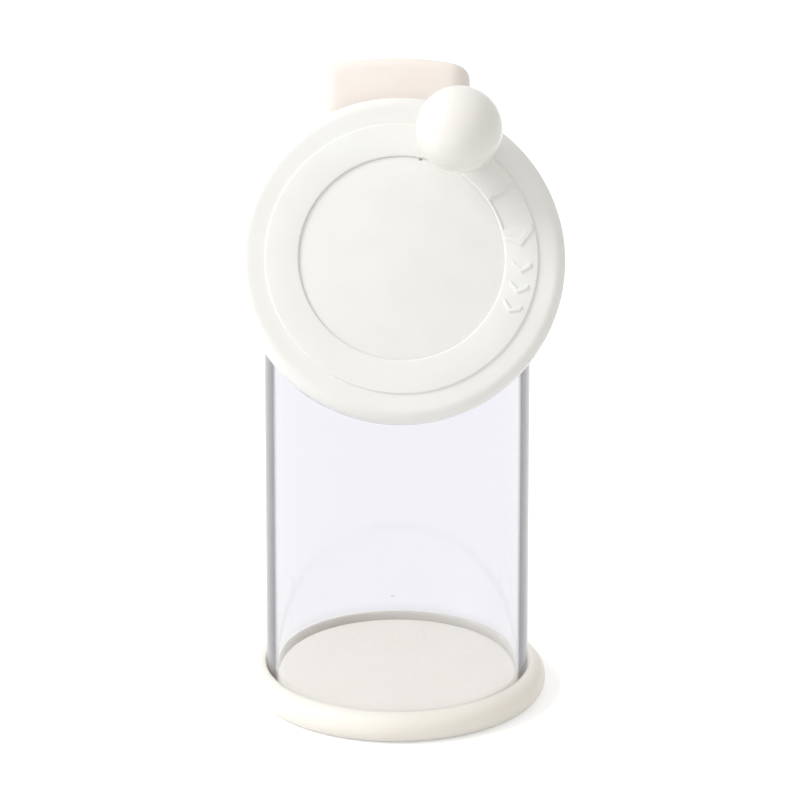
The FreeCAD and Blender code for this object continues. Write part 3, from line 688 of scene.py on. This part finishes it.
def makeDisc():
    inner, outer, top = disc["band"]
    lipInner, lipOuter, lipBack = disc["lip"]
    bossRadius, bossBack = disc["boss"]
    headRadius, headBack = disc["headRoom"]
    shape = spun([(disc["screwHole"], -disc["shaftTop"]), (disc["screwHole"], -headBack),
                  (headRadius, -headBack), (headRadius, -disc["recess"]), (inner, -disc["recess"]),
                  (inner, top), (outer, top), (outer, 0), (disc["radius"], 0),
                  (disc["radius"], -disc["skirt"]), (disc["skirtInner"], -disc["skirt"]),
                  (disc["skirtInner"], -disc["plate"]), (lipOuter, -disc["plate"]), (lipOuter, -lipBack),
                  (lipInner, -lipBack), (lipInner, -disc["plate"]), (bossRadius, -disc["plate"]),
                  (bossRadius, -bossBack), (disc["shaftHole"], -bossBack),
                  (disc["shaftHole"], -disc["shaftTop"])], steps=largeRound)
    soft = disc["softEdge"]
    roundRings(shape, [(disc["radius"], 0, disc["edge"], 12), (outer, top, disc["bandRound"], 4),
                       (inner, top, disc["innerRound"], 5), (disc["radius"], -disc["skirt"], soft, 3),
                       (disc["skirtInner"], -disc["skirt"], soft, 3), (lipOuter, -lipBack, soft, 3),
                       (lipInner, -lipBack, soft, 3), (bossRadius, -bossBack, soft, 3)])
    pad = roundRings(bar(disc["pad"], -cutMargin, top, 64), [(disc["pad"], top, disc["bandRound"], 4)])
    shape = combined(shape, moved(pad, Matrix.Translation((knobX, knobY, 0))), "UNION")
    reach = disc["cutReach"]
    pinHeadRadius, pinHeadSink = disc["pinHead"]
    for hollow in (bar(disc["pinHole"], -reach, reach, 48, knobX, knobY),
                   bar(pinHeadRadius, -reach, pinHeadSink - disc["plate"], 48, knobX, knobY), sunkenArrow(),
                   around(lambda: bar(disc["postScrew"], -reach, reach, 24, x=disc["postCircle"]),
                          *disc["posts"])):
        shape = combined(shape, hollow)
    raised = [raisedMark(arrow["head"]), raisedMark(arrow["ridge"])]
    raised += [raisedMark(marks["shape"], angle) for angle in marks["angles"]]
    shape = combined(shape, joined(raised), "UNION")
    standFor(finished(shape, "crankDisc", headPlace), "crank_disc", "ivoryDisc")


makeDisc()


# Panel over the hub

panel = {"radius": 19.69, "front": -0.06, "back": -1.7, "edge": 0.06, "backEdge": 0.1,
         "room": (12.1, 2.2, 1.15), "rooms": (3, 90), "notch": (19.55, 78.2, 0.35, 0.5)}


def makePanel():
    shape = spun([(0, panel["front"]), (panel["radius"], panel["front"]), (panel["radius"], panel["back"]),
                  (0, panel["back"])], closed=False)
    roundRings(shape, [(panel["radius"], panel["front"], panel["edge"], 4),
                       (panel["radius"], panel["back"], panel["backEdge"], 2)])
    circle, radius, deep = panel["room"]
    back = panel["back"]
    shape = combined(shape, around(lambda: bar(radius, back - cutMargin, back + deep, 32, x=circle),
                                   *panel["rooms"]))
    reach, angle, size, sunk = panel["notch"]
    notch = bar(size, panel["front"] - sunk, cutMargin, 20, x=reach)
    shape = combined(shape, moved(notch, Matrix.Rotation(math.radians(angle), 4, "Z")))
    standFor(finished(shape, "hubPanel", headPlace), "hub_cover", "ivoryPanel")


makePanel()


# Knob

knob = {"radius": 8.3, "height": 11.8, "foot": 4.2, "footEdge": 0.25, "neckRound": 2.2, "base": 1.0,
        "bore": 2.06, "boreTop": 10.0, "ballSteps": 48, "neckSteps": 8}


def makeKnob():
    ball, neck = knob["radius"], knob["neckRound"]
    lean = math.acos((knob["foot"] + neck) / (ball + neck))
    waist = knob["height"] - (ball + neck) * math.sin(lean)
    ballSteps, neckSteps = knob["ballSteps"], knob["neckSteps"]
    profile = [(ball * math.cos(a), knob["height"] + ball * math.sin(a)) for a in
               [math.pi / 2 - (math.pi / 2 + lean) * i / ballSteps for i in range(ballSteps + 1)]]
    profile[0] = (0, profile[0][1])
    profile += [(knob["foot"] + neck * (1 - math.cos(a)), waist + neck * math.sin(a)) for a in
                [lean * (1 - i / neckSteps) for i in range(1, neckSteps + 1)]]
    profile += [(knob["foot"], knob["base"]), (knob["bore"], knob["base"]), (knob["bore"], knob["boreTop"]),
                (0, knob["boreTop"])]
    shape = spun(profile, closed=False, steps=128)
    roundRings(shape, [(knob["foot"], knob["base"], knob["footEdge"], 3)])
    piece = finished(shape, "knobBall", headPlace @ Matrix.Translation((knobX, knobY, 0)))
    standFor(piece, "knob", "whiteKnob")


makeKnob()


# Spring that pulls the burrs together

spring = {"radius": 5.0, "wire": 0.45, "front": 21.79, "length": 8.0, "endTurns": 0.75, "turns": 4.5,
          "travel": 0.8, "endPitch": 1.04, "turnSteps": 40, "wireSides": 14}


def makeSpring():
    shape = bmesh.new()
    ring = bmesh.ops.create_circle(shape, segments=spring["wireSides"], radius=spring["wire"],
                                   matrix=Matrix.Translation((spring["radius"], 0, spring["wire"]))
                                   @ Matrix.Rotation(math.pi / 2, 4, "X"))["verts"]
    live = list({e for v in ring for e in v.link_edges}) + ring
    bmesh.ops.contextual_create(shape, geom=live[:])
    closed = 2 * spring["wire"] * spring["endPitch"]
    ends = spring["endTurns"]
    rise = spring["length"] - 2 * spring["wire"] - 2 * closed * ends
    for turns, climb in ((ends, closed * ends), (spring["turns"] - 2 * ends, rise), (ends, closed * ends)):
        steps = int(spring["turnSteps"] * turns)
        made = bmesh.ops.spin(shape, geom=live, axis=(0, 0, 1), cent=(0, 0, 0), angle=2 * math.pi * turns,
                              steps=steps, dvec=(0, 0, climb / steps))
        live = made["geom_last"]
    bmesh.ops.contextual_create(shape, geom=live)
    bmesh.ops.recalc_face_normals(shape, faces=shape.faces)
    back = -(spring["front"] + spring["length"])
    piece = finished(shape, "burrSpring", headPlace @ Matrix.Translation((0, 0, back)), 60)
    standFor(piece, "burr_spring", "springSteel")
    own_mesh(piece)


makeSpring()


# CAD nodes that keep their own shape

kept = {"rotor_burr": "whiteBurr", "stator_burr": "whiteBurr", "rotor_screws": "steel",
        "stator_screws": "steel", "drive_shaft": "steel", "shaft_bush": "bushPlastic",
        "shaft_screw": "steel", "shaft_washer": "steel", "spring_seat": "steel", "spring_washer": "steel",
        "retaining_clip": "springSteel", "knob_pin": "steel", "knob_washer": "bushPlastic"}
for node, look in kept.items():
    mesh = frame["nodes"][node].data
    mesh.materials.clear()
    mesh.materials.append(materials[look])
print("inner pieces finished")
